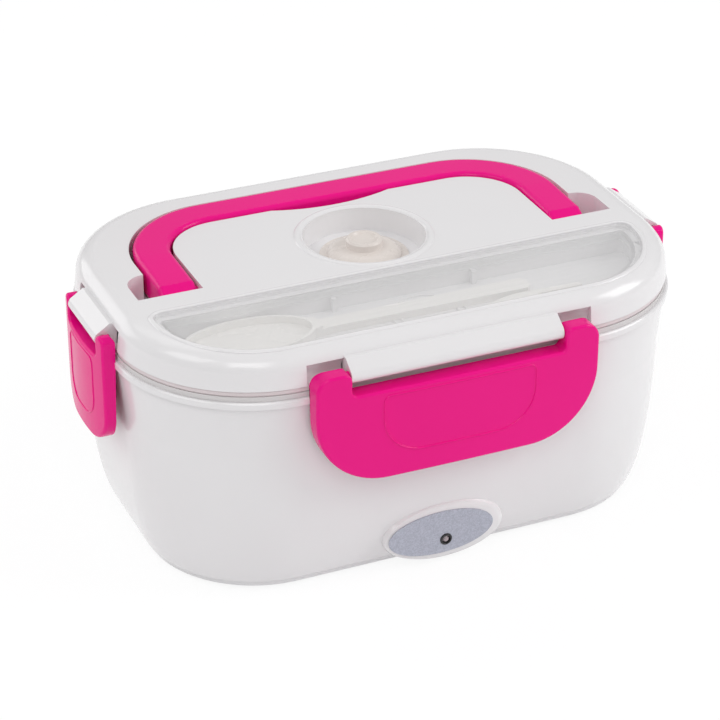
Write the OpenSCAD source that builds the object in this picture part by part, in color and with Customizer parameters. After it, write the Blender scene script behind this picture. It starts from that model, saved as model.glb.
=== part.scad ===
// Electric lunch box: a heated outer body with a lift-out food tray, and a lid that four
// latches hold down. The lid carries a carrying handle, a steam vent and a utensil well.
// Origin: centre of the footprint, on the table. +X right, +Y to the rear, +Z up.

/* [Outline] */
// Length of the lid along X
lid_l = 223; // [205:1:268]
// Depth of the lid along Y
lid_w = 147; // [136:1:177]
// Corner radius of the lid, seen from above
corner_r = 54; // [50:1:58]

/* [Heights] */
// How far the rubber feet stand out below the base cover
foot_h = 1.2; // [0.8:0.1:3]
// Visible height of the base cover
cover_h = 3.6; // [3:0.1:5]
// Height of the body moulding
body_h = 82.8; // [69:0.1:100]
// Thickness of the tray's flange
flange_t = 2; // [1.5:0.1:3]
// Thickness of the seal between tray and lid
seal_t = 2.3; // [1.5:0.1:3]
// Height of the lid from its lower edge to its flat top
lid_h = 12.8; // [12.5:0.1:16]

/* [Walls] */
// Wall of the outer body
body_wall = 2.2; // [1.8:0.1:2.6]
// Wall of the lid
lid_wall = 2; // [1.6:0.1:2.4]
// Wall of the inner liner
liner_wall = 1.6; // [1.2:0.1:2]
// Wall of the food tray
tray_wall = 1.5; // [1.2:0.1:2]

/* [Body form] */
// How far the rim lip stands out past the lid's outline
lip_out = 1; // [0.8:0.1:1.4]
// Height of the rim lip
lip_h = 2.6; // [2:0.1:4]
// Inward lean of the straight upper wall, per millimetre
draft = 0.09; // [0.05:0.01:0.11]
// Extra inset of the curved lower wall at the very bottom
belly_w = 10.7; // [8:0.1:13]
// Height over which the lower wall curves
belly_h = 63; // [58:1:66]

/* [Chin and indicator] */
// Width of the oval chin that carries the indicator
chin_w = 50; // [44:1:60]
// Height of the oval chin
chin_h = 25; // [20:0.5:27]
// Width of the oval indicator plate
plate_w = 43.6; // [36:0.2:46]
// Height of the oval indicator plate
plate_h = 18.3; // [14:0.1:20]
// Radius of the indicator lamp
lamp_r = 1.6; // [1.2:0.1:2]

/* [Handle] */
// Outer length of the handle along X
handle_l = 177; // [165:1:185]
// Distance from the pivot to the outside of the back bar
handle_reach = 60.2; // [52:0.2:64]
// Width of the handle's bar
bar_w = 14.5; // [11:0.5:17]
// Height of the handle's bar
bar_h = 12.5; // [10:0.1:12.6]
// Radius of the handle's pivot stubs
stub_r = 2.5; // [1.5:0.1:3]

/* [Vent] */
// Inner radius of the vent's well
vent_r = 24.3; // [20:0.1:25]
// Radius of the vent valve's dome
dome_r = 14.7; // [11:0.1:16]

/* [Utensil well] */
// Length of the utensil well
well_l = 197; // [170:1:200]
// Depth of the utensil well along Y
well_w = 42.5; // [36:0.5:43]
// Corner radius at the front of the utensil well
well_r = 38; // [24:1:38]

/* [Latches] */
// Length of the front and rear lug bars
long_lug = 85.2; // [70:0.2:90]
// Length of the side lug bars
short_lug = 31.2; // [26:0.2:32]
// Width of a latch's ear, along the hinge
ear_w = 14; // [10:0.5:14]
// Width of a side latch's ear
side_ear_w = 5.8; // [5:0.1:7]
// Height of a latch from its lower edge to the hinge
latch_drop = 43.4; // [36:0.2:50]
// Radius of the hinge stubs
pin_r = 1.6; // [1.2:0.1:1.8]

/* [Power inlet] */
// Distance between the two inlet pins
pin_pitch = 8.6; // [8:0.1:9]

/* [Hidden] */
$fn = 64;

// Clearances
gap = 0.3;              // between pieces that move past each other
fit = 0.06;             // radial clearance of a hinge stub in its bore
through = 1;            // how far a cut runs past the face that it opens

// Levels above the table
cover_z = foot_h;
body_z = cover_z + cover_h;
rim_z = body_z + body_h;
lip_z = rim_z - lip_h;
flange_z = rim_z + flange_t;
lid_z = flange_z + seal_t;
top_z = lid_z + lid_h;

// Outline of the lid, from which every shell is set in or out
cx = lid_l / 2 - corner_r;
cy = lid_w / 2 - corner_r;
front_y = -lid_w / 2;

// Colours
white = [0.93, 0.92, 0.93];
pink = [0.86, 0.07, 0.42];
clear_tint = [0.85, 0.87, 0.88, 0.5];
silver = [0.75, 0.76, 0.78];
black = [0.06, 0.06, 0.07];

// Points on an arc from angle a0 to a1 about [x, y]
function arc(x, y, r, a0, a1, n = 12) =
    [for (i = [0 : n]) let (a = a0 + (a1 - a0) * i / n) [x + r * cos(a), y + r * sin(a)]];

// Points on a quarter of an ellipse that starts upright at [x, y] and ends level, w further in
function shoulder(x, y, w, h, n = 12) =
    [for (i = [0 : n]) let (a = 90 * i / n) [x - w * (1 - cos(a)), y + h * sin(a)]];

function reversed(p) = [for (i = [len(p) - 1 : -1 : 0]) p[i]];

// Moves every point of an outline by [dx, dy]
function moved(p, dx, dy = 0) = [for (q = p) [q[0] + dx, q[1] + dy]];

// Sweeps its child, a 2D section drawn as [distance out from the lid's outline, height],
// round the lid's outline: four turned corners and four straight sides
module sweep() {
    for (q = [[1, 1, 0], [-1, 1, 90], [-1, -1, 180], [1, -1, 270]])
        translate([q[0] * cx, q[1] * cy, 0])
            rotate([0, 0, q[2]])
                rotate_extrude(angle = 90)
                    translate([corner_r, 0]) children();
    for (side = [0, 180])
        rotate([0, 0, side]) {
            translate([-cx, cy, 0])
                rotate([90, 0, 90])
                    linear_extrude(2 * cx) translate([corner_r, 0]) children();
            translate([cx, cy, 0])
                rotate([90, 0, 0])
                    linear_extrude(2 * cy) translate([corner_r, 0]) children();
        }
}

// A swept section that reaches the corner centres, closed by a core from z0 to z1
module filled(z0, z1) {
    sweep() children();
    translate([-cx, -cy, z0]) cube([2 * cx, 2 * cy, z1 - z0]);
}

// A flat plate with the lid's outline moved out by u (in, where u is negative)
module plate(u, z0, z1) {
    filled(z0, z1) translate([-corner_r, z0]) square([corner_r + u, z1 - z0]);
}

// A rounded rectangle of its own, centred on the origin
module rounded(l, w, r) {
    polygon(concat(
        arc(l / 2 - r, w / 2 - r, r, 0, 90, 8), arc(r - l / 2, w / 2 - r, r, 90, 180, 8),
        arc(r - l / 2, r - w / 2, r, 180, 270, 8), arc(l / 2 - r, r - w / 2, r, 270, 360, 8)));
}

module oval(w, h) {
    polygon([for (i = [0 : 71]) [w / 2 * cos(5 * i), h / 2 * sin(5 * i)]]);
}

// Turns local axes (x along the wall, y outward, z up) to each side of the lid's outline
module at_front() { rotate([0, 0, 180]) translate([0, lid_w / 2, 0]) children(); }
module at_rear() { translate([0, lid_w / 2, 0]) children(); }
module at_left() { rotate([0, 0, 90]) translate([0, lid_l / 2, 0]) children(); }
module at_right() { rotate([0, 0, -90]) translate([0, lid_l / 2, 0]) children(); }

// ---------------------------------------------------------------- body

belly_top = cover_z + belly_h;
straight_inset = 0.3 + draft * (lip_z - belly_top);
belly_angle = asin((belly_top - body_z) / belly_h);

// Outer line of the wall from its lower edge up to the lip, moved out by u
function wall_line(u) = concat(
    [for (i = [14 : -1 : 0]) let (a = belly_angle * i / 14)
        [u - straight_inset - belly_w * (1 - cos(a)), belly_top - belly_h * sin(a)]],
    [[u - 0.3, lip_z]]);

wall_foot = straight_inset + belly_w * (1 - cos(belly_angle));

chin_z = cover_z + 0.5 + chin_h / 2;
chin_face = 2.9;        // the chin's face lies this far inside the lid's front
chin_back = wall_foot + 0.5;    // and its back this far
chin_wall = 2;
chin_edge = 2.4;        // rounding of the chin's front edge
board_in = 11.5;        // the lamp's board lies this far inside the lid's front
board_t = 1.2;
post_x = 12;
label_x = -2;           // the plate sits a little left of the lamp
lamp_z = chin_z - 3.2;
label_z = chin_z + 0.2;

// Puts a flat shape drawn in [x, z] on the front, from depth d0 to d1 inside the lid's front
module facing(d0, d1) {
    translate([0, front_y + d1, 0]) rotate([90, 0, 0]) linear_extrude(d1 - d0) children();
}

module chin() {
    translate([0, 0, chin_z]) hull() {
        facing(chin_face + chin_edge, chin_back) oval(chin_w, chin_h);
        facing(chin_face + 0.8, chin_back) oval(chin_w - 1.6, chin_h - 1.6);
        facing(chin_face, chin_back) oval(chin_w - 4.8, chin_h - 4.8);
    }
}

board_h = 9;
ring_w = 0.85;          // width of the ring round the lamp
inlet_z = 15.6;
inlet_w = 27;
inlet_h = 15;
inlet_face = straight_inset + 2.028;    // the inlet's face, inside the lid's rear, follows the wall
inlet_boss = 2.4;       // wall of the boss round the inlet

module outer_body() {
    color(white) difference() {
        union() {
            sweep() polygon(concat(
                wall_line(0),
                [[lip_out, lip_z], [lip_out, rim_z - 0.5], [lip_out - 0.5, rim_z],
                    [-0.3 - body_wall, rim_z]],
                reversed(wall_line(-body_wall))));
            chin();
            translate([0, lid_w / 2 - inlet_face, inlet_z]) rotate([90, 0, 0])
                linear_extrude(5) rounded(inlet_w + 2 * inlet_boss, inlet_h + 2 * inlet_boss, 4);
        }
        difference() {
            translate([0, 0, chin_z]) facing(chin_face + chin_wall, wall_foot + body_wall + 3)
                oval(chin_w - 6, chin_h - 6);
            for (s = [-1, 1])
                translate([s * post_x - 1, front_y, lamp_z - 2])
                    cube([2, board_in, board_h]);
        }
        translate([0, front_y + chin_face + chin_wall + 1, lamp_z]) rotate([90, 0, 0])
            cylinder(r = lamp_r + ring_w, h = chin_wall + 4);
        translate([0, lid_w / 2 + through, inlet_z]) rotate([90, 0, 0])
            linear_extrude(20) square([inlet_w + 0.2, inlet_h + 0.2], center = true);
    }
}

foot_x = 74;
foot_y = 34;
foot_r = 6;
foot_recess = 0.8;
screw_x = 50;
screw_y = 42;
cover_floor = 2.2;      // thickness of the base cover's floor
cover_in = wall_foot + 0.8;

module at_corners(x, y) {
    for (sx = [-1, 1])
        for (sy = [-1, 1])
            translate([sx * x, sy * y, 0]) children();
}

module base_cover() {
    rim_in = wall_foot + body_wall + gap;
    color(white * 0.93) difference() {
        filled(cover_z, cover_z + cover_floor) polygon([
            [-corner_r, cover_z], [-cover_in - 2.2, cover_z], [-cover_in - 0.9, cover_z + 0.9],
            [-cover_in - 0.2, cover_z + 2.2], [-cover_in, body_z], [-rim_in, body_z],
            [-rim_in, body_z + 3], [-rim_in - 1.5, body_z + 3],
            [-rim_in - 1.5, cover_z + cover_floor], [-corner_r, cover_z + cover_floor]]);
        at_corners(foot_x, foot_y) translate([0, 0, cover_z - through])
            cylinder(r = foot_r + 0.1, h = foot_recess + through);
        at_corners(screw_x, screw_y) translate([0, 0, cover_z - through]) {
            cylinder(r = 1.7, h = 5);
            cylinder(r = 3.3, h = 1.1 + through);
        }
        for (i = [-4 : 4])
            translate([i * 7 - 1.5, -14, cover_z - through]) cube([3, 28, 4]);
    }
}

module rubber_feet() {
    color([0.25, 0.25, 0.27]) at_corners(foot_x, foot_y)
        rotate_extrude() polygon([[0, 0], [foot_r - 0.8, 0], [foot_r, 0.7],
            [foot_r, foot_h + foot_recess], [0, foot_h + foot_recess]]);
}

liner_floor = 24;       // underside of the liner's floor
plate_t = 1.7;          // thickness of the heating plate
well_top = liner_floor + 2;
liner_in = 5.4;         // inset of the liner's wall at the rim
liner_lean = 3.5;       // how much further in it is at the bottom
liner_round = 10;

module base_screws() {
    color(silver) at_corners(screw_x, screw_y) translate([0, 0, cover_z + 0.1])
        rotate_extrude() polygon([[0, 0], [2.2, 0], [2.8, 0.6], [2.8, 1], [1.45, 1], [1.45, 13],
            [0.4, 14.5], [0, 14.5]]);
}

module inner_liner() {
    foot_in = liner_in + liner_lean;
    turn_z = liner_floor + liner_round;
    color(white * 0.98) difference() {
        union() {
            filled(liner_floor, well_top) polygon(concat(
                [[-corner_r, liner_floor]],
                arc(-foot_in - liner_round, turn_z, liner_round, 270, 360, 8),
                [[-liner_in, rim_z - 2.2], [-0.3 - body_wall, rim_z - 2.2],
                    [-0.3 - body_wall, rim_z], [-liner_in - liner_wall, rim_z]],
                arc(-foot_in - liner_round, turn_z, liner_round - liner_wall, 360, 270, 8),
                [[-foot_in - liner_round, well_top], [-corner_r, well_top]]));
            at_corners(screw_x, screw_y) translate([0, 0, cover_z + cover_floor])
                cylinder(r = 4, h = liner_floor - cover_z - cover_floor + 0.5);
        }
        translate([0, 0, liner_floor - through]) linear_extrude(5) rounded(112, 62, 8);
        at_corners(screw_x, screw_y) translate([0, 0, cover_z]) cylinder(r = 1.55, h = 17);
    }
}

module heating_plate() {
    color(silver) translate([0, 0, well_top]) linear_extrude(plate_t) rounded(120, 70, 12);
}

heater_w = 60;
heater_d = 26;
heater_t = 6;
clamp_x = 38;

module ptc_heater() {
    color([0.8, 0.8, 0.82]) translate([0, 0, well_top - heater_t]) difference() {
        translate([-heater_w / 2, -heater_d / 2, 0]) cube([heater_w, heater_d, heater_t]);
        for (s = [-1, 1])
            translate([s * heater_w / 2 - 3, -9, 1.5]) cube([6, 18, 3]);
    }
}

module heater_clamp() {
    t = 1.2;
    color([0.6, 0.62, 0.65]) translate([0, 0, well_top]) difference() {
        union() {
            translate([-heater_w / 2 - t, -7, -heater_t - t]) cube([heater_w + 2 * t, 14, t]);
            for (s = [0, 180]) rotate([0, 0, s]) {
                translate([heater_w / 2, -7, -heater_t - t]) cube([t, 14, heater_t + t]);
                translate([heater_w / 2, -7, -t]) cube([14, 14, t]);
            }
        }
        for (s = [-1, 1])
            translate([s * clamp_x, 0, -3]) cylinder(r = 1.7, h = 4);
    }
}

module clamp_screws() {
    color(silver) for (s = [-1, 1])
        translate([s * clamp_x, 0, well_top])
            rotate_extrude() polygon([[0, 0], [1.45, 0], [1.45, -1.2], [2.8, -1.2], [2.8, -2.4],
                [2, -3], [0, -3]]);
}

module thermal_cutout() {
    color([0.16, 0.15, 0.15]) translate([-20, 22, well_top]) {
        translate([0, 0, -6]) cylinder(r = 7, h = 6);
        for (s = [-1, 1])
            translate([s * 4 - 1.5, -0.4, -11]) cube([3, 0.8, 5.5]);
    }
}

pin_back = 22;          // length of the inlet's housing
pin_out = 2;            // the pins end this far inside the face
pin_len = 20;
inlet_y = lid_w / 2 - inlet_face + 0.6;

module power_inlet() {
    color(black) translate([0, inlet_y, inlet_z]) rotate([90, 0, 0]) difference() {
        union() {
            linear_extrude(pin_back) square([inlet_w, inlet_h], center = true);
            linear_extrude(0.6) rounded(inlet_w + 3, inlet_h + 3, 2.5);
        }
        translate([0, 0, -through]) linear_extrude(13 + through) {
            square([pin_pitch, 9], center = true);
            for (s = [-1, 1])
                translate([s * pin_pitch / 2, 0]) circle(r = 4.5);
        }
        for (s = [-1, 1])
            translate([s * pin_pitch / 2, 0, 0]) cylinder(r = 1.2, h = pin_back + through);
    }
}

module inlet_pins() {
    color(silver) for (s = [-1, 1])
        translate([s * pin_pitch / 2, inlet_y - pin_out, inlet_z]) rotate([90, 0, 0])
            rotate_extrude() polygon([[0, 0], [0.8, 0], [1.2, 0.5], [1.2, pin_len + 5],
                [0, pin_len + 5]]);
}

module led_board() {
    color([0.12, 0.4, 0.22]) translate([-15, front_y + board_in, lamp_z - 2])
        cube([30, board_t, board_h]);
}

module led_lamp() {
    dome_z = board_in - chin_face - 0.6;
    color([0.75, 0.68, 0.72]) translate([0, front_y + board_in, lamp_z]) rotate([90, 0, 0])
        rotate_extrude() polygon(concat([[0, 0], [lamp_r, 0]],
            moved(arc(0, 0, lamp_r, 0, 80, 6), 0, dome_z), [[0, dome_z + lamp_r]]));
}

module indicator_ring() {
    color(black) translate([0, front_y + chin_face + chin_wall, lamp_z]) rotate([90, 0, 0])
        rotate_extrude() polygon([[lamp_r + 0.05, 0], [lamp_r + ring_w, 0],
            [lamp_r + ring_w, chin_wall + 0.7], [lamp_r + 0.6, chin_wall + 0.9],
            [lamp_r + 0.05, chin_wall + 0.9]]);
}

module indicator_plate() {
    color([0.66, 0.69, 0.75]) difference() {
        translate([label_x, 0, label_z]) facing(chin_face - 0.5, chin_face) oval(plate_w, plate_h);
        translate([0, 0, lamp_z]) facing(chin_face - 2, chin_face + 1) circle(r = lamp_r + ring_w);
    }
}

// ---------------------------------------------------------------- tray

tray_in = 7.5;          // inset of the tray's wall below its flange
tray_lean = 3.6;
tray_z = well_top + plate_t + gap;
tray_round = 9;
tray_foot = tray_in + tray_lean;
divider_x = 37;

// The room inside the tray, its walls carried on in a straight line up to z_end
module tray_room(z_end) {
    turn_z = tray_z + tray_round;
    end_in = tray_in + tray_wall + tray_lean * (flange_z - z_end) / (flange_z - turn_z);
    filled(tray_z + tray_wall, z_end) polygon(concat(
        [[-corner_r, tray_z + tray_wall]],
        arc(-tray_foot - tray_round, turn_z, tray_round - tray_wall, 270, 360, 8),
        [[-end_in, z_end], [-corner_r, z_end]]));
}

module food_tray() {
    turn_z = tray_z + tray_round;
    color(clear_tint) {
        difference() {
            filled(tray_z, flange_z) polygon(concat(
                [[-corner_r, tray_z]],
                arc(-tray_foot - tray_round, turn_z, tray_round, 270, 360, 8),
                [[-tray_in, rim_z], [-0.3, rim_z], [-0.3, flange_z], [-corner_r, flange_z]]));
            tray_room(flange_z + through);
        }
        intersection() {
            translate([divider_x, front_y, tray_z + 1]) cube([tray_wall, lid_w, 52]);
            tray_room(flange_z - 1);
        }
    }
}

box_x = 66;
box_l = 46;
box_w = 84;
box_r = 18;
box_z = tray_z + tray_wall;
box_h = rim_z - box_z - 14.1;   // leaves room for the side box's lid below the lid's panel

module side_box() {
    color(clear_tint) translate([box_x, 0, box_z]) difference() {
        union() {
            linear_extrude(box_h) rounded(box_l, box_w, box_r);
            translate([0, 0, box_h - 2]) linear_extrude(2)
                rounded(box_l + 3, box_w + 3, box_r + 1.5);
        }
        translate([0, 0, 1.4]) linear_extrude(box_h)
            rounded(box_l - 2.6, box_w - 2.6, box_r - 1.3);
    }
}

module side_box_lid() {
    color(white) translate([box_x, 0, box_z + box_h]) difference() {
        union() {
            translate([0, 0, -4]) linear_extrude(6.2)
                rounded(box_l + 6.4, box_w + 6.4, box_r + 3.2);
            translate([-4, -12, 2]) cube([8, 24, 2.4]);
        }
        translate([0, 0, -5]) linear_extrude(5)
            rounded(box_l + 3.6, box_w + 3.6, box_r + 1.8);
    }
}

// ---------------------------------------------------------------- lid

skirt_h = 5.6;          // upright part of the lid's edge
skirt_in = 0.6;
shoulder_w = 8;
vent_y = 7.3;
groove_gap = 1.5;       // room beside the handle in its groove
pocket_l = 10;          // extra room outside each leg, so that the legs can spring apart
pocket_y = 9;
groove_front = -10;
pivot_y = groove_front + 0.55 + bar_h / 2;
floor_z = lid_z + 1.3;  // top of the floors of the groove and the wells
under_z = lid_z - 0.5;  // underside of those floors
bar_z = floor_z + gap;
pivot_z = bar_z + bar_h / 2;
bar_r = bar_w + 13.5;   // outer corner radius of the handle
bar_x = handle_l / 2 - bar_r;
bar_y = pivot_y + handle_reach - bar_r;

function u_line(x, y, r, front) = concat(
    [[x + r, front]], arc(x, y, r, 0, 90), arc(-x, y, r, 90, 180), [[-x - r, front]]);

module groove() {
    difference() {
        polygon(u_line(bar_x, bar_y, bar_r + groove_gap, groove_front));
        polygon(u_line(bar_x, bar_y, bar_r - bar_w - 1, groove_front - through));
    }
    for (s = [0, 1])
        mirror([s, 0])
            polygon(concat(
                [[handle_l / 2 - bar_w - 1, groove_front]],
                [[handle_l / 2 + pocket_l, groove_front]],
                arc(handle_l / 2 + pocket_l - 8, pocket_y - 8, 8, 0, 90, 8),
                [[handle_l / 2 - bar_w - 1, pocket_y]]));
    // finger scoop in front of the back bar
    intersection() {
        translate([0, bar_y + bar_r - bar_w + 67.5]) circle(r = 73, $fn = 180);
        translate([-32, 20]) square([64, bar_y + bar_r - 20]);
    }
}

well_front = front_y + 8.5;
well_back_r = well_w - well_r;  // corner radius at the rear of the well

// Outline of the utensil well's opening, moved in by u (out, where u is negative)
module well(u) {
    x = well_l / 2;
    y = well_front + well_r;
    r = max(well_back_r - u, 0.2);
    back = well_front + well_w - u - r;
    side = x - u - r;
    polygon(concat(
        arc(side, back, r, 0, 90, 6), arc(-side, back, r, 90, 180, 6),
        arc(well_r - x, y, well_r - u, 180, 270), arc(x - well_r, y, well_r - u, 270, 360)));
}

lug_out = 3.4;          // hinge line of a latch, outside the lid's outline
lug_r = 3;
lug_z = lid_z + lug_r;  // and its height
ear_room = 6.6;         // radius that an ear sweeps, with clearance

module lug(l) {
    translate([l / 2, 0, 0]) rotate([90, 0, -90]) linear_extrude(l) mirror([1, 0])
        polygon(concat([[-2.5, top_z - 4.2], [0.4, top_z - 4.2]],
            arc(lug_out, lug_z, lug_r, 62, -90), [[-1, lug_z - lug_r]]));
}

module lug_bores(l) {
    for (s = [0, 180])
        translate([0, lug_out, lug_z]) rotate([0, 0, s]) translate([l / 2 - 5, 0, 0])
            rotate([0, 90, 0]) cylinder(r = pin_r + fit, h = 5 + through);
}

// The room that a latch's two ears turn in
module ear_rooms(l, w, r) {
    for (s = [0, 180])
        translate([0, lug_out, lug_z]) rotate([0, 0, s]) translate([l / 2, 0, 0])
            rotate([0, 90, 0]) cylinder(r = r, h = w);
}

module latch_room(l, ear) {
    lug_bores(l);
    ear_rooms(l, ear + 0.6, ear_room);
}

// The first child at the front and the rear, the second at both ends
module on_all_sides() {
    at_front() children(0);
    at_rear() children(0);
    at_left() children(1);
    at_right() children(1);
}

module lid_form(u) {
    sweep() polygon(concat(
        [[-corner_r, lid_z]], [[-u, lid_z]],
        shoulder(-u - skirt_in, lid_z + skirt_h, shoulder_w, lid_h - skirt_h - u),
        [[-corner_r, top_z - u]]));
    translate([-cx, -cy, lid_z]) cube([2 * cx, 2 * cy, lid_h - u]);
}

vent_floor = top_z - 9.2;

module lid_shell() {
    color(white) difference() {
        union() {
            difference() {
                lid_form(0);
                translate([0, 0, -0.001]) lid_form(lid_wall);
            }
            intersection() {
                lid_form(0.5);
                on_all_sides() {
                    ear_rooms(long_lug + 0.4, ear_w + 2.2, ear_room + 1.8);
                    ear_rooms(short_lug + 0.4, side_ear_w + 2.2, ear_room + 1.8);
                }
            }
            translate([0, 0, under_z]) linear_extrude(top_z - under_z - 1) {
                offset(delta = 1.6) groove();
                offset(delta = 1.6) well(2.4);
                translate([0, vent_y]) circle(r = vent_r + 1.6);
            }
            for (s = [0, 1])
                mirror([s, 0, 0])
                    translate([handle_l / 2 - bar_w - 6, pivot_y - 6, under_z])
                        cube([5, 12, top_z - under_z - 1]);
            translate([0, vent_y, 0]) rotate_extrude() polygon(concat(
                [[vent_r - 1, top_z - 2]], arc(vent_r + 1.4, top_z - 1.2, 1.8, 180, 0, 8),
                [[vent_r + 3.2, top_z - 2]]));
            on_all_sides() {
                lug(long_lug);
                lug(short_lug);
            }
        }
        translate([0, 0, floor_z]) linear_extrude(lid_h) {
            groove();
            well(2.6);
        }
        translate([0, 0, top_z - 2]) linear_extrude(4) well(0);
        translate([0, vent_y, 0]) rotate_extrude() polygon([
            [0, vent_floor], [vent_r - 1.4, vent_floor], [vent_r - 0.2, top_z - 1],
            [vent_r - 0.2, top_z + 2], [0, top_z + 2]]);
        translate([0, vent_y, under_z - through]) {
            cylinder(r = vent_r - 2, h = 3.2);
            cylinder(r = stem_r + gap, h = 12);
        }
        on_all_sides() {
            latch_room(long_lug, ear_w);
            latch_room(short_lug, side_ear_w);
        }
        for (s = [0, 1])
            mirror([s, 0, 0])
                translate([handle_l / 2 - bar_w - 5.2, pivot_y, pivot_z]) rotate([0, 90, 0])
                    cylinder(r = stub_r + fit, h = 6);
    }
}

liner_gap = 7;          // inset of the lid's inner panel
panel_t = 1.5;

module lid_liner() {
    color(white * 0.97) difference() {
        union() {
            plate(-liner_gap, under_z - panel_t, under_z);
            sweep() polygon([[-liner_gap - 1.4, under_z - panel_t], [-liner_gap, under_z - panel_t],
                [-liner_gap, lid_z + 3], [-liner_gap - 1.4, lid_z + 3]]);
        }
        translate([0, vent_y, under_z - 4]) cylinder(r = stem_r + gap, h = 6);
        translate([0, 0, under_z]) linear_extrude(6) offset(delta = 1.9) well(2.4);
        translate([0, 0, under_z]) linear_extrude(6) offset(delta = 1.9) groove();
    }
}

module lid_seal() {
    color([0.8, 0.78, 0.77, 0.8]) sweep() polygon([
        [-0.7, flange_z], [-0.5, flange_z + 0.7], [-0.5, flange_z + seal_t - 0.6], [-0.7, lid_z],
        [-5.4, lid_z], [-5.4, lid_z + 2.6], [-liner_gap + 0.2, lid_z + 2.6],
        [-liner_gap + 0.2, flange_z]]);
}

stem_r = 5;
valve_lift = 3;         // how far the valve pulls up

module vent_valve() {
    barb_z = under_z - panel_t - valve_lift - gap;
    knob_r = 7.2;
    color([0.87, 0.84, 0.82, 0.8]) translate([0, vent_y, 0]) rotate_extrude() polygon(concat(
        [[0, barb_z - 3.6], [3.2, barb_z - 3.6], [stem_r + 1.4, barb_z - 1.4],
            [stem_r + 1.4, barb_z], [stem_r, barb_z], [stem_r, vent_floor],
            [dome_r + 2.8, vent_floor], [dome_r + 2.8, vent_floor + 0.9],
            [dome_r, vent_floor + 1.2]],
        shoulder(dome_r, vent_floor + 1.2, dome_r - knob_r - 0.4, 3.4, 8),
        [[knob_r, vent_floor + 4.8], [knob_r, vent_floor + 7.3], [knob_r - 0.7, vent_floor + 8],
            [knob_r - 1.9, vent_floor + 8], [knob_r - 2.5, vent_floor + 7.2],
            [0, vent_floor + 7]]));
}

module handle_section() {
    r = 2.2;
    polygon(concat(
        arc(r, r, r, 180, 270, 4), arc(bar_w - r, r, r, 270, 360, 4),
        arc(bar_w - r, bar_h - r, r, 0, 90, 4), arc(r, bar_h - r, r, 90, 180, 4)));
}

module handle_leg() {
    // the end is round about the pivot, with a flat bevel on top
    translate([handle_l / 2 - bar_w, 0, pivot_z]) rotate([90, 0, 90]) linear_extrude(bar_w)
        polygon(concat(
            [[pivot_y + 4.5, bar_h / 2], [pivot_y + 4.5, -bar_h / 2]],
            moved(arc(0, 0, bar_h / 2, 270, 160, 8), pivot_y),
            [[pivot_y + 1, bar_h / 2]]));
}

module handle() {
    color(pink) {
        translate([0, 0, bar_z]) {
            for (s = [0, 1])
                mirror([s, 0, 0]) {
                    translate([bar_x, bar_y, 0]) rotate_extrude(angle = 90)
                        translate([bar_r - bar_w, 0]) handle_section();
                    translate([bar_x + bar_r - bar_w, bar_y, 0]) rotate([90, 0, 0])
                        linear_extrude(bar_y - pivot_y - 4.5) handle_section();
                }
            translate([-bar_x, bar_y + bar_r - bar_w, 0]) rotate([90, 0, 90])
                linear_extrude(2 * bar_x) handle_section();
        }
        for (s = [0, 1])
            mirror([s, 0, 0]) {
                handle_leg();
                translate([handle_l / 2 - bar_w - 4.8, pivot_y, pivot_z]) rotate([0, 90, 0])
                    cylinder(r = stub_r, h = 5.8);
            }
    }
}

cover_t = 1.6;

module utensil_cover() {
    color([0.92, 0.94, 0.95, 0.3]) {
        translate([0, 0, top_z - 2]) linear_extrude(cover_t) well(0.4);
        translate([0, 0, top_z - 5]) linear_extrude(3.2) difference() {
            well(2.9);
            well(4.1);
        }
    }
}

// Spoon and fork lie on the floor of the well, each along X
function bow(l, a, b, n = 16) =
    [for (i = [0 : n]) let (t = i / n) [l * t, a + (b - a) * (0.5 - 0.5 * cos(180 * t))]];

module spoon() {
    bowl_l = 52;
    bowl_w = 27;
    color(white) translate([-66, -39, floor_z]) {
        difference() {
            union() {
                linear_extrude(4.2) oval(bowl_l, bowl_w);
                linear_extrude(4.2) polygon(concat(
                    bow(34, 9, 3.6), [[112, 4.2], [114, 2], [114, -2], [112, -4.2]],
                    reversed([for (p = bow(34, 9, 3.6)) [p[0], -p[1]]])));
            }
            translate([0, 0, 1.4]) linear_extrude(4) oval(bowl_l - 3, bowl_w - 3);
            translate([bowl_l / 2 + 1.5, -20, 3]) cube([100, 40, 4]);
        }
    }
}

module fork() {
    color(white) translate([50, -53, floor_z]) difference() {
        linear_extrude(2.4) polygon(concat(
            [for (p = bow(26, 8.6, 3)) [-p[0] - 8, p[1]]],
            [[-84, 3.6], [-86, 1.8], [-86, -1.8], [-84, -3.6]],
            reversed([for (p = bow(26, 8.6, 3)) [-p[0] - 8, -p[1]]]),
            [[16, -7.6], [17, -6.4], [17, 6.4], [16, 7.6]]));
        for (y = [-4, 0, 4])
            translate([-2, y - 0.9, -1]) cube([30, 1.8, 5]);
    }
}

// ---------------------------------------------------------------- latches

latch_face = 8.8;       // the latch's face, outside the lid's outline
latch_wall = 2;
ear_top = 4.8;          // height of the ears above the hinge
strip_z = lid_z - 3.3;  // top edge between the ears
hook_z = lip_z - 0.4;

// The latch's outline, [x, z], moved in by u
module latch_outline(hw, r, u) {
    zb = lug_z - latch_drop;
    zt = lug_z + ear_top;
    polygon(concat(
        arc(hw - 4, zt - 4, 4 - u, 0, 90, 6), arc(4 - hw, zt - 4, 4 - u, 90, 180, 6),
        arc(r - hw, zb + r, r - u, 180, 270, 12), arc(hw - r, zb + r, r - u, 270, 360, 12)));
}

module outward(u0, u1) {
    translate([0, u1, 0]) rotate([90, 0, 0]) linear_extrude(u1 - u0) children();
}

// Everything that the closed latch keeps clear of, in the latch's own axes
module latch_clearance() {
    sweep() polygon([
        [-corner_r, body_z], [lip_out + 0.4, body_z], [lip_out + 0.4, lid_z - 1],
        [0.4, lid_z], [0.4, top_z + through], [-corner_r, top_z + through]]);
}

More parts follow.
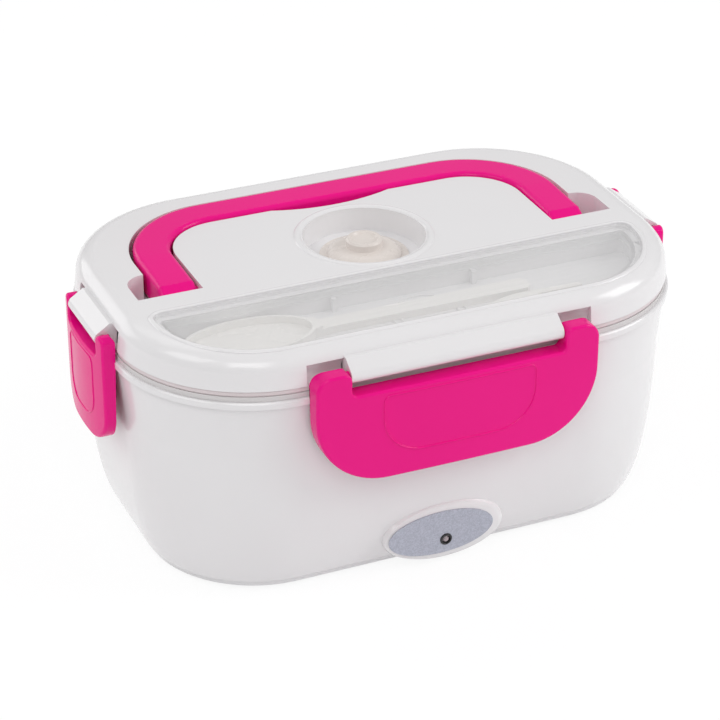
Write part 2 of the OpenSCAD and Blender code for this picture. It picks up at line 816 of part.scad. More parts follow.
module latch(lug_l, ear, r, panel_w) {
    hw = lug_l / 2 + gap + ear;
    ear_in = lug_l / 2 + gap;
    difference() {
        hull() {
            outward(-4, latch_face - 1.8) latch_outline(hw, r, 0);
            outward(-4, latch_face - 0.8) latch_outline(hw, r, 0.4);
            outward(-4, latch_face - 0.2) latch_outline(hw, r, 1.1);
            outward(-4, latch_face) latch_outline(hw, r, 1.9);
        }
        difference() {
            outward(-5, latch_face - latch_wall) latch_outline(hw, r, latch_wall);
            translate([-hw, -6, strip_z - 2]) cube([2 * hw, 20, 20]);
            translate([-ear_in + 4, 0.1, hook_z - 2.2]) cube([2 * ear_in - 8, 10, 2.2]);
        }
        translate([-ear_in, -6, strip_z]) cube([2 * ear_in, 20, 20]);
        // the ears' top rear corners are round about the hinge
        translate([hw + 1, lug_out, lug_z]) rotate([90, 0, -90]) linear_extrude(2 * hw + 2)
            difference() {
                square([9, 9]);
                circle(r = ear_top - 0.1);
            }
    }
    outward(latch_face, latch_face + 0.3) difference() {
        translate([0, strip_z - 14.2]) rounded(panel_w, 24, 9);
        translate([0, strip_z - 14.2]) rounded(panel_w - 1.6, 22.4, 8.2);
    }
    for (s = [0, 180])
        translate([0, lug_out, lug_z]) rotate([0, 0, s]) translate([ear_in - 4.8, 0, 0])
            rotate([0, 90, 0]) cylinder(r = pin_r, h = 6);
}

module long_latch() { latch(long_lug, ear_w, 28, 62); }
module short_latch() { latch(short_lug, side_ear_w, 13, 22); }

module latch_front() {
    color(pink) difference() { at_front() long_latch(); latch_clearance(); }
}

module latch_rear() {
    color(pink) difference() { at_rear() long_latch(); latch_clearance(); }
}

module latch_left() {
    color(pink) difference() { at_left() short_latch(); latch_clearance(); }
}

module latch_right() {
    color(pink) difference() { at_right() short_latch(); latch_clearance(); }
}

outer_body();
base_cover();
rubber_feet();
base_screws();
inner_liner();
heating_plate();
ptc_heater();
heater_clamp();
clamp_screws();
thermal_cutout();
power_inlet();
inlet_pins();
led_board();
led_lamp();
indicator_ring();
indicator_plate();
food_tray();
side_box();
side_box_lid();
lid_shell();
lid_liner();
lid_seal();
vent_valve();
handle();
utensil_cover();
spoon();
fork();
latch_front();
latch_rear();
latch_left();
latch_right();
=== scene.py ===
"""An electric lunch box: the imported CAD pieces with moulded-plastic, silicone and metal looks."""
import math

import bmesh
import bpy
from mathutils import Matrix, Vector


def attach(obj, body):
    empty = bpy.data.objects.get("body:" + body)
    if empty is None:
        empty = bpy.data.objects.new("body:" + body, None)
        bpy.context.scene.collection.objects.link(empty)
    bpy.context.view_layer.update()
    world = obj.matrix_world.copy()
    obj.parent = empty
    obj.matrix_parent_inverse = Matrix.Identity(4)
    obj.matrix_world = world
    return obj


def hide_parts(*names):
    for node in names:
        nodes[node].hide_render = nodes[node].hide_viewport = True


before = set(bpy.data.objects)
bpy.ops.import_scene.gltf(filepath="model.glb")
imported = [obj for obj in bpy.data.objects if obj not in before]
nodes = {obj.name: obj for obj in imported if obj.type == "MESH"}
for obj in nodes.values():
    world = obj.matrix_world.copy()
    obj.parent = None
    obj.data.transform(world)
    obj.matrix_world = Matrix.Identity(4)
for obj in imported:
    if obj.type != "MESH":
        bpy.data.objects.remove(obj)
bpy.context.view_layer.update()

MM = 0.001

# ---------------------------------------------------------------- camera

AZIMUTH = math.radians(-23.453)
ELEVATION = math.radians(28.931)
DISTANCE = 1.0388
TARGET = Vector((-0.000216, 0.010765, 0.047417))
FOCAL_PIXELS = 2600
FRAME_PIXELS = 720
SENSOR = 36.0


def add_camera():
    back = Vector((math.sin(AZIMUTH) * math.cos(ELEVATION),
                   -math.cos(AZIMUTH) * math.cos(ELEVATION), math.sin(ELEVATION)))
    data = bpy.data.cameras.new("camera")
    data.sensor_width = SENSOR
    data.lens = FOCAL_PIXELS * SENSOR / FRAME_PIXELS
    data.clip_start = 0.05
    camera = bpy.data.objects.new("camera", data)
    camera.location = TARGET + back * DISTANCE
    camera.rotation_euler = (-back).to_track_quat("-Z", "Y").to_euler()
    bpy.context.scene.collection.objects.link(camera)
    bpy.context.scene.camera = camera


# ---------------------------------------------------------------- materials

class Shader:
    """A material's node tree, with a short way to add and link nodes."""

    def __init__(self, name):
        self.material = bpy.data.materials.new(name)
        self.material.use_nodes = True
        self.tree = self.material.node_tree
        self.surface = self.tree.nodes["Principled BSDF"]
        self.coordinates = self.node("ShaderNodeTexCoord").outputs["Object"]

    def node(self, kind, **inputs):
        made = self.tree.nodes.new(kind)
        for key, value in inputs.items():
            socket = made.inputs[key.replace("_", " ")]
            if isinstance(value, bpy.types.NodeSocket):
                self.tree.links.new(value, socket)
            else:
                socket.default_value = value
        return made

    def set(self, **inputs):
        for key, value in inputs.items():
            socket = self.surface.inputs[key.replace("_", " ")]
            if isinstance(value, bpy.types.NodeSocket):
                self.tree.links.new(value, socket)
            else:
                socket.default_value = value

    def noise(self, scale, detail=3.0, roughness=0.5, vector=None):
        made = self.node("ShaderNodeTexNoise", Scale=scale, Detail=detail, Roughness=roughness,
                         Vector=vector or self.coordinates)
        return made.outputs["Fac"]

    def mapped(self, scale):
        made = self.node("ShaderNodeMapping", Vector=self.coordinates)
        made.inputs["Scale"].default_value = scale
        return made.outputs["Vector"]

    def ramp(self, value, low, high):
        """Value, from 0 to 1, spread over low to high."""
        made = self.node("ShaderNodeMapRange", Value=value)
        made.inputs["From Min"].default_value = 0.3
        made.inputs["From Max"].default_value = 0.7
        made.inputs["To Min"].default_value = low
        made.inputs["To Max"].default_value = high
        return made.outputs["Result"]

    def blend(self, value, first, second):
        made = self.node("ShaderNodeMix")
        made.data_type = "RGBA"
        self.tree.links.new(value, made.inputs["Factor"])
        for socket in made.inputs:
            if socket.type == "RGBA":
                socket.default_value = (*(first if socket.name == "A" else second), 1)
        return next(s for s in made.outputs if s.type == "RGBA")

    def bump(self, height, distance, strength=1.0):
        made = self.node("ShaderNodeBump", Height=height, Distance=distance, Strength=strength)
        self.set(Normal=made.outputs["Normal"])


def moulded(name, low, high, roughness, waviness=0.00006, coat=0.0, specular=0.5):
    """Injection-moulded plastic: faint flow in the colour, a slow ripple and a fine grain."""
    s = Shader(name)
    s.set(Base_Color=s.blend(s.ramp(s.noise(9.0, 2.0), 0, 1), low, high))
    s.set(Roughness=s.ramp(s.noise(60.0, 4.0), roughness * 0.85, roughness * 1.2))
    s.set(IOR=1.5, Specular_IOR_Level=specular, Coat_Weight=coat, Coat_Roughness=0.08)
    slow_share = 6.0        # the slow ripple's height, in heights of the fine grain
    ripple = s.node("ShaderNodeMath", Value=s.noise(22.0, 1.0))
    ripple.operation = "MULTIPLY_ADD"
    s.tree.links.new(s.noise(1400.0, 2.0), ripple.inputs[2])
    ripple.inputs[1].default_value = slow_share
    s.bump(ripple.outputs["Value"], waviness / slow_share, 0.5)
    return s.material


def translucent(name, colour, roughness, transmission, alpha=1.0, streaks=False, specular=0.5):
    """Clear or milky plastic or silicone, a little uneven."""
    s = Shader(name)
    s.set(Base_Color=s.blend(s.ramp(s.noise(18.0, 2.0), 0, 1), colour,
                             tuple(c * 0.97 for c in colour)))
    grain = s.noise(1.0, 4.0, 0.6, s.mapped((25.0, 900.0, 900.0) if streaks else (160,) * 3))
    s.set(Roughness=s.ramp(grain, roughness * 0.7, roughness * 1.3))
    s.set(Transmission_Weight=transmission, IOR=1.46, Specular_IOR_Level=specular)
    if streaks:
        alpha = s.ramp(grain, alpha * 0.92, alpha * 1.08)
    s.set(Alpha=alpha)
    s.bump(grain, 0.00003 if streaks else 0.000006, 0.4)
    return s.material


def metal(name, colour, roughness, scale):
    """Rolled or drawn metal, with grain along X."""
    s = Shader(name)
    grain = s.noise(1.0, 4.0, 0.6, s.mapped(scale))
    s.set(Base_Color=s.blend(s.ramp(grain, 0, 1), colour, tuple(c * 0.88 for c in colour)))
    s.set(Roughness=s.ramp(grain, roughness * 0.8, roughness * 1.25), Metallic=1.0)
    s.bump(grain, 0.00002, 0.5)
    return s.material


def speckled(name, light, dark):
    """The indicator plate's finish: fine light and dark specks in blue-grey."""
    s = Shader(name)
    first = s.node("ShaderNodeTexVoronoi", Scale=2200.0, Vector=s.coordinates).outputs["Color"]
    split = s.node("ShaderNodeSeparateColor", Color=first)
    s.set(Base_Color=s.blend(split.outputs["Red"], dark, light))
    s.set(Roughness=0.38, Metallic=0.25, Coat_Weight=0.6, Coat_Roughness=0.12)
    s.bump(s.noise(900.0, 2.0), 0.00002, 0.4)
    return s.material


WHITE_LOW = (0.80, 0.785, 0.795)
WHITE_HIGH = (0.83, 0.82, 0.83)
PINK_LOW = (0.84, 0.002, 0.23)
PINK_HIGH = (0.88, 0.004, 0.25)


def looks():
    white = moulded("white_plastic", WHITE_LOW, WHITE_HIGH, 0.2, coat=0.3)
    base = moulded("base_plastic", (0.78, 0.77, 0.78), (0.82, 0.81, 0.82), 0.35)
    pink = moulded("pink_plastic", PINK_LOW, PINK_HIGH, 0.2, coat=0.08, specular=0.15)
    utensil = moulded("utensil_plastic", (0.84, 0.82, 0.80), (0.87, 0.85, 0.83), 0.25)
    tray = translucent("tray_plastic", (0.86, 0.83, 0.83), 0.22, 0.0, 0.8)
    cover = translucent("cover_plastic", (1.0, 1.0, 1.0), 0.18, 0.0, 0.2, True, 0.8)
    seal = translucent("seal_silicone", (0.74, 0.66, 0.67), 0.4, 0.0)
    valve = translucent("valve_silicone", (0.76, 0.70, 0.66), 0.25, 0.0)
    rubber = moulded("foot_rubber", (0.05, 0.05, 0.055), (0.06, 0.06, 0.065), 0.7)
    black = moulded("black_plastic", (0.012, 0.012, 0.014), (0.018, 0.018, 0.02), 0.3)
    board = moulded("board_laminate", (0.03, 0.16, 0.07), (0.035, 0.2, 0.085), 0.4)
    steel = metal("steel", (0.62, 0.63, 0.65), 0.28, (60.0, 2500.0, 2500.0))
    aluminium = metal("aluminium", (0.72, 0.73, 0.75), 0.38, (40.0, 1800.0, 1800.0))
    lens = translucent("lamp_lens", (0.78, 0.66, 0.70), 0.12, 0.5)
    plate = speckled("indicator_finish", (0.47, 0.49, 0.575), (0.36, 0.375, 0.45))
    return {
        "outer_body": white, "inner_liner": white, "lid_shell": white, "lid_liner": white,
        "side_box_lid": white, "base_cover": base, "handle": pink, "latch_front": pink,
        "latch_rear": pink, "latch_left": pink, "latch_right": pink, "spoon": utensil,
        "fork": utensil, "food_tray": tray, "side_box": tray, "utensil_cover": cover,
        "lid_seal": seal, "vent_valve": valve, "rubber_feet": rubber, "power_inlet": black,
        "thermal_cutout": black, "indicator_ring": black, "led_board": board,
        "base_screws": steel, "clamp_screws": steel, "heater_clamp": steel,
        "inlet_pins": steel, "heating_plate": aluminium, "ptc_heater": aluminium,
        "led_lamp": lens, "indicator_plate": plate,
    }


# ---------------------------------------------------------------- shapes, in millimetres

def arc(x, y, r, start, end, steps=10):
    """Points on an arc about (x, y), from angle start to angle end."""
    return [(x + r * math.cos(math.radians(a)), y + r * math.sin(math.radians(a)))
            for a in (start + (end - start) * i / steps for i in range(steps + 1))]


def solid(name, rings, ring_shaped=False):
    """A closed mesh object through rings of as many points, capped at both ends or joined."""
    shape = bmesh.new()
    rows = [[shape.verts.new(Vector(point) * MM) for point in ring] for ring in rings]
    pairs = list(zip(rows, rows[1:])) + ([(rows[-1], rows[0])] if ring_shaped else [])
    for row, after in pairs:
        for i in range(len(row)):
            j = (i + 1) % len(row)
            shape.faces.new((row[i], row[j], after[j], after[i]))
    if not ring_shaped:
        shape.faces.new(rows[0])
        shape.faces.new(rows[-1])
    bmesh.ops.recalc_face_normals(shape, faces=shape.faces)
    data = bpy.data.meshes.new(name)
    shape.to_mesh(data)
    shape.free()
    made = bpy.data.objects.new(name, data)
    bpy.context.scene.collection.objects.link(made)
    return made


def apply_modifiers(item):
    """Takes an object's modifiers into its mesh."""
    shown = item.evaluated_get(bpy.context.evaluated_depsgraph_get())
    data = bpy.data.meshes.new_from_object(shown)
    item.modifiers.clear()
    item.data = data


def combine(item, operation, *others):
    """Adds other solids to an object, or cuts them out of it."""
    for other in others:
        step = item.modifiers.new(operation.lower(), "BOOLEAN")
        step.operation = operation
        step.solver = "EXACT"
        step.object = other
    apply_modifiers(item)
    for other in others:
        bpy.data.objects.remove(other)


# ---------------------------------------------------------------- latches

HINGE_OUT = 3.4         # hinge line, outside the lid's edge, and its height
HINGE_Z = 94.9
EAR_TOP = 97.6
EAR_REAR = 3.0          # radius of the ears' rear about the hinge
NOTCH_Z = 88.3          # lower edge of the notch between the ears
LATCH_FOOT = 51.5
LATCH_WALL = 2.0
HOOK_LOW, HOOK_HIGH = 82.4, 84.6
REAR_UPPER, REAR_LOWER = 0.4, 1.4       # how far out the rear lies above and below its step
REAR_STEP_Z = 92.0
EAR_GAP = 0.3           # between the lug and each ear
PIN_RADIUS = 1.6
PIN_IN, PIN_OUT = 4.8, 2.0      # the pins' reach into the lug's bore and into the ear
NOTCH_FILLET = 2.0
PANEL_GAP = 1.9         # from the notch down to the raised line
PANEL_CORNER = 3.0      # the raised line's upper corners
BOW_STEP = 3.0          # width of the flat strips that the bowed face is cut into
LINE_SECTION = ((-0.5, 0), (0.1, 0), (0.3, 0.2), (0.3, 0.5), (0.1, 0.7), (-0.5, 0.7))  # out, inset
# The latch's rounded front edge, as (behind the face, inset)
EDGE_STEPS = ((1.1, 0.0), (0.75, 0.06), (0.5, 0.2), (0.2, 0.5), (0.06, 0.8), (0.0, 1.15))


class LatchForm:
    """The sizes of one kind of latch.

    lug and ear are lengths along the hinge, face is how far out the face lies, and panel is the
    raised line's half width, height and lower corners.
    """

    def __init__(self, lug, ear, face, foot_r, outer_r, inner_r, bow_r, panel):
        self.ear_in = lug / 2 + EAR_GAP
        self.half = self.ear_in + ear
        self.face = face
        self.foot_r = foot_r
        self.outer_r = outer_r
        self.inner_r = inner_r
        self.bow_r = bow_r
        self.panel = panel

    def outline(self, inset):
        """The latch from the front, as (along, height), moved in by inset."""
        half, ear_in, foot_r = self.half, self.ear_in, self.foot_r
        outer_r, inner_r = self.outer_r, self.inner_r
        right = (
            arc(half - outer_r, EAR_TOP - outer_r, outer_r - inset, 0, 90)
            + arc(ear_in + inner_r, EAR_TOP - inner_r, inner_r - inset, 90, 180)
            + arc(ear_in - NOTCH_FILLET, NOTCH_Z + NOTCH_FILLET, NOTCH_FILLET + inset, 0, -90))
        left = [(-x, z) for x, z in reversed(right)]
        foot = (arc(foot_r - half, LATCH_FOOT + foot_r, foot_r - inset, 180, 270, 20)
                + arc(half - foot_r, LATCH_FOOT + foot_r, foot_r - inset, 270, 360, 20))
        return right + left + foot

    def panel_line(self, inset):
        """The raised line on the face: wide at its top, round at its bottom."""
        half, height, r = self.panel
        top = NOTCH_Z - PANEL_GAP
        low = top - height
        corner = PANEL_CORNER
        return (arc(half - corner, top - corner, corner - inset, 0, 90)
                + arc(corner - half, top - corner, corner - inset, 90, 180)
                + arc(r - half, low + r, r - inset, 180, 270, 20)
                + arc(half - r, low + r, r - inset, 270, 360, 20))

    def rear(self, z):
        """How far out the latch's rear lies at a height."""
        if z > HINGE_Z:
            return HINGE_OUT - math.sqrt(max(EAR_REAR ** 2 - (z - HINGE_Z) ** 2, 0))
        return REAR_UPPER if z > REAR_STEP_Z else REAR_LOWER

    def pocket(self, low, high, r):
        """A hollow in the latch's rear, from height low to high, with lower corners r."""
        half = self.half - LATCH_WALL
        outline = ([(half, high), (-half, high)] + arc(r - half, low + r, r, 180, 270)
                   + arc(half - r, low + r, r, 270, 360))
        return solid("pocket", [[(x, depth, z) for x, z in outline]
                                for depth in (-1.0, self.face - LATCH_WALL)])

    def make(self, name, turn, edge):
        """Builds the latch on one side: turn is the side's angle, edge its distance out."""
        rings = [[(x, self.rear(z), z) for x, z in self.outline(0)]]
        rings += [[(x, self.face - back, z) for x, z in self.outline(inset)]
                  for back, inset in EDGE_STEPS]
        latch = solid(name, rings)
        line = solid("line", [[(x, self.face + out, z) for x, z in self.panel_line(inset)]
                              for out, inset in LINE_SECTION], True)
        pins = [solid("pin", [[(side * x, HINGE_OUT + a, HINGE_Z + b)
                               for a, b in arc(0, 0, PIN_RADIUS, 0, 337.5, 15)]
                              for x in (self.ear_in - PIN_IN, self.ear_in + PIN_OUT)])
                for side in (-1, 1)]
        combine(latch, "UNION", line, *pins)
        combine(latch, "DIFFERENCE",
                self.pocket(HOOK_HIGH, NOTCH_Z - LATCH_WALL, 0.5),
                self.pocket(LATCH_FOOT + LATCH_WALL, HOOK_LOW, self.foot_r - LATCH_WALL))
        self.bend(latch.data)
        latch.data.transform(Matrix.Rotation(turn, 4, "Z")
                             @ Matrix.Translation((0, edge * MM, 0)))
        return latch

    def bend(self, data):
        """Bows the latch's face outward in the middle."""
        shape = bmesh.new()
        shape.from_mesh(data)
        count = int(self.half / BOW_STEP)
        for i in range(-count, count + 1):
            bmesh.ops.bisect_plane(shape, geom=shape.verts[:] + shape.edges[:] + shape.faces[:],
                                   plane_co=(i * BOW_STEP * MM, 0, 0), plane_no=(1, 0, 0))
        for vertex in shape.verts:
            along, out = vertex.co.x / MM, vertex.co.y / MM
            share = (out - REAR_LOWER) / (self.face - LATCH_WALL - REAR_LOWER)
            share = min(max(share, 0), 1)
            vertex.co.y -= share * along ** 2 / (2 * self.bow_r) * MM
        shape.to_mesh(data)
        shape.free()


LID_HALF_WIDTH, LID_HALF_LENGTH = 73.5, 111.5
LONG_LATCH = LatchForm(lug=85.2, ear=14.0, face=8.8, foot_r=28, outer_r=6.5, inner_r=3.0,
                       bow_r=1600, panel=(31, 25.4, 16))
SHORT_LATCH = LatchForm(lug=31.2, ear=5.8, face=7.8, foot_r=13, outer_r=2.8, inner_r=2.6,
                        bow_r=108, panel=(13, 27, 9))
LATCH_SIDES = {
    "latch_front": (LONG_LATCH, math.pi, LID_HALF_WIDTH),
    "latch_rear": (LONG_LATCH, 0.0, LID_HALF_WIDTH),
    "latch_left": (SHORT_LATCH, math.pi / 2, LID_HALF_LENGTH),
    "latch_right": (SHORT_LATCH, -math.pi / 2, LID_HALF_LENGTH),
}


def add_latches(material):
    for node_name, (form, turn, edge) in LATCH_SIDES.items():
        latch = form.make(node_name + "_moulding", turn, edge)
        latch.data.materials.append(material)
        finish(latch, MOULDED_EDGE)
        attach(latch, node_name)
        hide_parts(node_name)


# ---------------------------------------------------------------- lid and handle

TOP_Z = 104.7
FLOOR_Z = 93.2          # floors of the groove and of the wells
LEVEL_DROP = 0.02       # how far below its flat top the lid is cut level
WELL_FRONT, WELL_REAR = -65.0, -22.5
WELL_HALF = 98.5        # half of the utensil well's length
WELL_FRONT_R = 38.0     # its front corners; its rear ones take the rest of its width
WELL_REAR_R = WELL_REAR - WELL_FRONT - WELL_FRONT_R
VENT_R, VENT_Y = 24.3, 7.3
CORNER_X, CORNER_Y = 50.5, 19.0         # centre of the handle's corner
BAR_INNER, BAR_WIDTH, BAR_HEIGHT = 23.5, 14.5, 12.5
OLD_X, OLD_Y, OLD_INNER, OLD_OUTER = 60.5, 29.0, 12.5, 29.5     # the tighter corner of the groove
PIVOT_Y, PIVOT_Z = -3.2, 99.75
TIP_RADIUS = 3.6        # seen from above, at the ends of the handle's legs
LEG_STEPS = (0.25, 0.5, 1, 1.6, 2.4, 3.4, 4.6, 5.1, 5.5, 6.25)  # sections, from the leg's end
STUB_RADIUS = 2.5
STUB_IN, STUB_OUT = 4.8, 3.0    # the stubs' reach out of the leg's inner face and into the leg


def prism(name, outline, low, high, mirrored=False):
    """An upright prism; mirrored turns it over to the other side of the lid."""
    side = -1 if mirrored else 1
    return solid(name, [[(side * x, y, z) for x, y in outline] for z in (low, high)])


def both_sides(name, outline, low, high):
    return [prism(name, outline, low, high, mirrored) for mirrored in (False, True)]


def level_top(item):
    """Trims a mesh a hair below its flat top and closes it with one plane."""
    shape = bmesh.new()
    shape.from_mesh(item.data)
    bmesh.ops.remove_doubles(shape, verts=shape.verts, dist=0.005 * MM)
    level = (TOP_Z - LEVEL_DROP) * MM
    bmesh.ops.bisect_plane(shape, geom=shape.verts[:] + shape.edges[:] + shape.faces[:],
                           plane_co=(0, 0, level), plane_no=(0, 0, 1), clear_outer=True)
    rims = [edge for edge in shape.edges
            if edge.is_boundary and all(abs(v.co.z - level) < 1e-6 for v in edge.verts)]
    bmesh.ops.triangle_fill(shape, edges=rims, use_beauty=True, normal=(0, 0, 1))
    bmesh.ops.recalc_face_normals(shape, faces=shape.faces)
    shape.to_mesh(item.data)
    shape.free()


def well_rim():
    """The low raised rim around the utensil well."""
    def outline(out):
        middle = WELL_FRONT + WELL_FRONT_R
        right = (arc(WELL_HALF - WELL_FRONT_R, middle, WELL_FRONT_R + out, -90, 0, 16)
                 + arc(WELL_HALF - WELL_REAR_R, middle, WELL_REAR_R + out, 0, 90, 8))
        return right + [(-x, y) for x, y in reversed(right)]

    # The rim's section, as (out from the well's edge, up from the lid's top)
    profile = ((-0.05, -1.0), (-0.05, 0.25), (0.15, 0.45), (0.5, 0.55), (1.0, 0.55), (1.5, 0.35),
               (1.8, 0.0), (1.85, -1.0))
    paths = [[(x, y, TOP_Z + up) for x, y in outline(out)] for out, up in profile]
    return solid("rim", [list(ring) for ring in zip(*paths)], True)


def vent_rim():
    """The rounded ring around the vent well."""
    half, middle, foot = 2.0, VENT_R + 1.7, TOP_Z - 2.2
    section = ([(middle - half, foot)] + arc(middle, TOP_Z - 1.4, half, 180, 0, 12)
               + [(middle + half, foot)])
    turns = 96
    return solid("rim", [[(r * math.cos(a), VENT_Y + r * math.sin(a), z) for r, z in section]
                         for a in (math.tau * i / turns for i in range(turns))], True)


def well_details():
    """Two small ribs at the rear of the utensil well and two low rings on its floor."""
    rib_width = 1.8
    rib_front, rib_rear = WELL_REAR - 5, WELL_REAR - 1
    made = []
    for x in (-28, 30):
        outline = [(x, rib_front), (x + rib_width, rib_front), (x + rib_width, rib_rear),
                   (x, rib_rear)]
        made.append(prism("rib", outline, FLOOR_Z - 0.4, FLOOR_Z + 5.5))
    ring_x, ring_y, ring_wall = 5, WELL_FRONT + 22.5, 0.8
    foot, top = FLOOR_Z - 0.3, FLOOR_Z + 0.5
    for radius in (12, 15):
        section = ((radius, foot), (radius, top), (radius - ring_wall, top),
                   (radius - ring_wall, foot))
        made.append(solid("ring", [[(ring_x + x, ring_y + y, z)
                                    for x, y in arc(0, 0, r, 0, 352.5, 47)]
                                   for r, z in section], True))
    return made


def add_lid(material):
    """The lid's moulding, with a wider turn in the groove and its small raised details."""
    lid = bpy.data.objects.new("lid_moulding", nodes["lid_shell"].data.copy())
    bpy.context.scene.collection.objects.link(lid)
    shape = bmesh.new()
    shape.from_mesh(lid.data)
    bmesh.ops.remove_doubles(shape, verts=shape.verts, dist=0.01 * MM)
    shape.to_mesh(lid.data)
    shape.free()
    groove_gap = 1.5        # between the handle and the groove's outer wall
    lap = 0.8               # how far an added piece reaches into the lid's own wall
    outer = (arc(CORNER_X, CORNER_Y, BAR_INNER + BAR_WIDTH + groove_gap, 0, 90, 24)
             + arc(OLD_X, OLD_Y, OLD_OUTER + lap, 90, 0, 24))
    inner = (arc(OLD_X, OLD_Y, OLD_INNER - lap, 0, 90, 16)
             + arc(CORNER_X, CORNER_Y, BAR_INNER - 2.8, 90, 0, 16))
    spare = (arc(OLD_X, OLD_Y, OLD_INNER + 2, 0, 90, 24)
             + arc(CORNER_X, CORNER_Y, BAR_INNER - 1, 90, 0, 24))
    combine(lid, "UNION", *both_sides("outer", outer, FLOOR_Z - 0.4, TOP_Z + 1),
            *both_sides("inner", inner, FLOOR_Z - 0.4, TOP_Z + 1))
    combine(lid, "DIFFERENCE", *both_sides("spare", spare, FLOOR_Z, TOP_Z + 2))
    level_top(lid)
    combine(lid, "UNION", *well_details(), well_rim(), vent_rim())
    lid.data.materials.clear()
    lid.data.materials.append(material)
    finish(lid, SOFT_EDGES["lid_shell"])
    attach(lid, "lid")
    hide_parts("lid_shell")


def bar_section():
    """The handle's section as (across, up), with round edges."""
    r = 2.2
    return (arc(r, r, r, 180, 270, 5) + arc(BAR_WIDTH - r, r, r, 270, 360, 5)
            + arc(BAR_WIDTH - r, BAR_HEIGHT - r, r, 0, 90, 5)
            + arc(r, BAR_HEIGHT - r, r, 90, 180, 5))


def leg_ring(y):
    """The right leg's section at y, rounded about the pivot at its front end."""
    half = BAR_HEIGHT / 2
    ahead = PIVOT_Y - y
    low = -math.sqrt(half ** 2 - ahead ** 2) if ahead > 0 else -half
    high = min(half, half - 0.6 * (ahead + 1))
    tip = max(ahead - (half - TIP_RADIUS), 0)
    narrow = 1 - (TIP_RADIUS - math.sqrt(max(TIP_RADIUS ** 2 - tip ** 2, 0))) / (BAR_WIDTH / 2)
    middle = CORNER_X + BAR_INNER + BAR_WIDTH / 2
    return [(middle + (a - BAR_WIDTH / 2) * narrow, y,
             PIVOT_Z + low + b / BAR_HEIGHT * (high - low)) for a, b in bar_section()]


def add_handle(material):
    """The carrying handle: one bar with two wide turns, and legs that are round at the pivot."""
    half = BAR_HEIGHT / 2
    rings = [leg_ring(PIVOT_Y - half + step) for step in LEG_STEPS]
    turn = [[(CORNER_X + (BAR_INNER + a) * math.cos(angle),
              CORNER_Y + (BAR_INNER + a) * math.sin(angle), PIVOT_Z - half + b)
             for a, b in bar_section()] for angle in (math.pi / 2 * i / 24 for i in range(25))]
    rings += turn
    rings += [[(-x, y, z) for x, y, z in ring] for ring in reversed(rings)]
    handle = solid("handle_moulding", rings)
    inner_face = CORNER_X + BAR_INNER
    stubs = [solid("stub", [[(side * x, PIVOT_Y + a, PIVOT_Z + b)
                             for a, b in arc(0, 0, STUB_RADIUS, 0, 345, 23)]
                            for x in (inner_face - STUB_IN, inner_face + STUB_OUT)])
             for side in (-1, 1)]
    combine(handle, "UNION", *stubs)
    handle.data.materials.append(material)
    finish(handle, MOULDED_EDGE)
    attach(handle, "handle")
    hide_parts("handle")


# ---------------------------------------------------------------- finish of the CAD pieces

# Width of the rounded edges, in millimetres, on the CAD pieces and on the latches and the handle
SOFT_EDGES = {
    "lid_shell": 0.5, "outer_body": 0.4, "utensil_cover": 0.25, "food_tray": 0.3,
    "vent_valve": 0.3, "base_cover": 0.3, "side_box": 0.3, "side_box_lid": 0.4, "spoon": 0.5,
    "fork": 0.4, "power_inlet": 0.3, "indicator_plate": 0.12,
}
MOULDED_EDGE = 0.3


def finish(item, edge):
    """Joins a mesh's seams, rounds its sharp edges by edge millimetres and shades it smooth."""
    weld = item.modifiers.new("weld", "WELD")
    weld.merge_threshold = 0.00001
    if edge:
        bevel = item.modifiers.new("edges", "BEVEL")
        bevel.width = edge * MM
        bevel.segments = 2
        bevel.limit_method = "ANGLE"
        bevel.angle_limit = math.radians(32)
        bevel.use_clamp_overlap = True
    normals = item.modifiers.new("normals", "WEIGHTED_NORMAL")
    normals.keep_sharp = True
    item.data.shade_smooth()


FLOOR_SHOWS = 0.86      # how far the floor is lifted to white where it is seen
FLOOR_GLOW = 1.03       # and how strong that white is
LIGHT_TARGET = Vector((0, 0, 0.05))


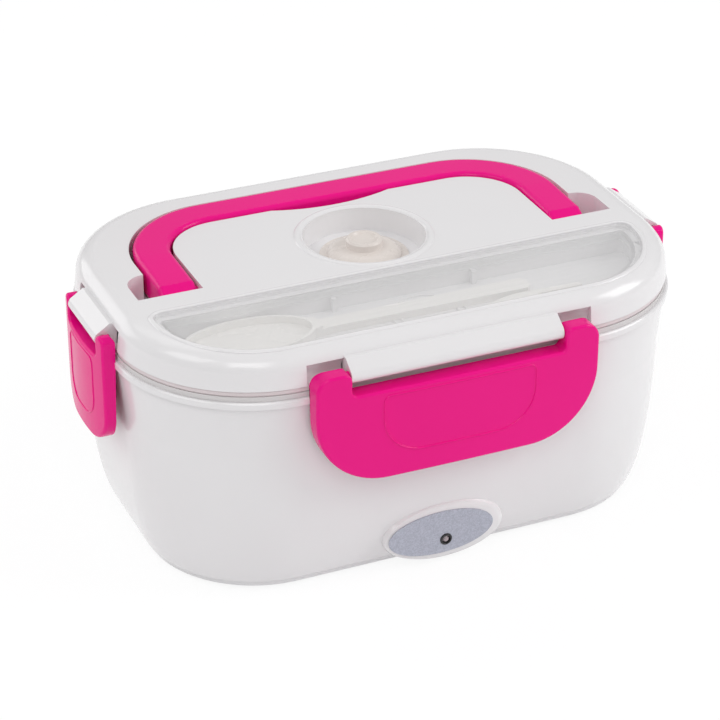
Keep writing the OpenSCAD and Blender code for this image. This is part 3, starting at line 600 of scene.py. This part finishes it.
def add_stage():
    """A pale floor that looks white to the camera and in reflections, with a faint shadow."""
    bpy.ops.mesh.primitive_plane_add(size=6.0, location=(0, 0, 0))
    floor = bpy.context.object
    floor.name = "floor"
    s = Shader("floor_finish")
    s.set(Base_Color=(0.93, 0.93, 0.935, 1), Roughness=0.6, Specular_IOR_Level=0.2)
    rays = s.node("ShaderNodeLightPath").outputs
    seen = rays["Is Camera Ray"]
    for kind in ("Is Glossy Ray", "Is Transmission Ray"):
        either = s.node("ShaderNodeMath")
        either.operation = "MAXIMUM"
        s.tree.links.new(seen, either.inputs[0])
        s.tree.links.new(rays[kind], either.inputs[1])
        seen = either.outputs["Value"]
    share = s.node("ShaderNodeMath")
    share.operation = "MULTIPLY"
    s.tree.links.new(seen, share.inputs[0])
    share.inputs[1].default_value = FLOOR_SHOWS
    white = s.node("ShaderNodeEmission", Color=(1, 1, 1, 1), Strength=FLOOR_GLOW)
    mixed = s.tree.nodes.new("ShaderNodeMixShader")
    s.tree.links.new(share.outputs["Value"], mixed.inputs[0])
    s.tree.links.new(s.surface.outputs["BSDF"], mixed.inputs[1])
    s.tree.links.new(white.outputs["Emission"], mixed.inputs[2])
    s.tree.links.new(mixed.outputs["Shader"], s.tree.nodes["Material Output"].inputs["Surface"])
    floor.data.materials.append(s.material)


def area_light(name, location, size, power):
    """A rectangular lamp that points at the object."""
    data = bpy.data.lights.new(name, "AREA")
    data.shape = "RECTANGLE"
    data.size = size[0]
    data.size_y = size[1]
    data.energy = power
    light = bpy.data.objects.new(name, data)
    light.location = location
    light.rotation_euler = (LIGHT_TARGET - Vector(location)).to_track_quat("-Z", "Y").to_euler()
    bpy.context.scene.collection.objects.link(light)


def add_light():
    world = bpy.data.worlds.new("world")
    bpy.context.scene.world = world
    world.use_nodes = True
    background = world.node_tree.nodes["Background"]
    background.inputs["Color"].default_value = (1, 1, 1, 1)
    background.inputs["Strength"].default_value = 0.5
    area_light("key", (-0.6, -1.2, 1.55), (0.9, 0.9), 7.3)
    area_light("left", (-1.3, -0.1, 1.5), (0.9, 0.9), 5.5)
    area_light("rim", (-1.0, 1.7, 0.75), (1.4, 0.9), 6)
    area_light("fill", (1.5, -0.7, 1.1), (1.0, 1.0), 12.5)
    area_light("back", (0.1, 1.2, 1.6), (1.8, 0.8), 2.5)


add_camera()
materials = looks()
for node_name, material in materials.items():
    item = nodes[node_name]
    item.data.materials.clear()
    item.data.materials.append(material)
    finish(item, SOFT_EDGES.get(node_name, 0))
add_latches(materials["handle"])
add_handle(materials["handle"])
add_lid(materials["lid_shell"])
add_stage()
add_light()

bpy.context.scene.view_settings.view_transform = "Standard"
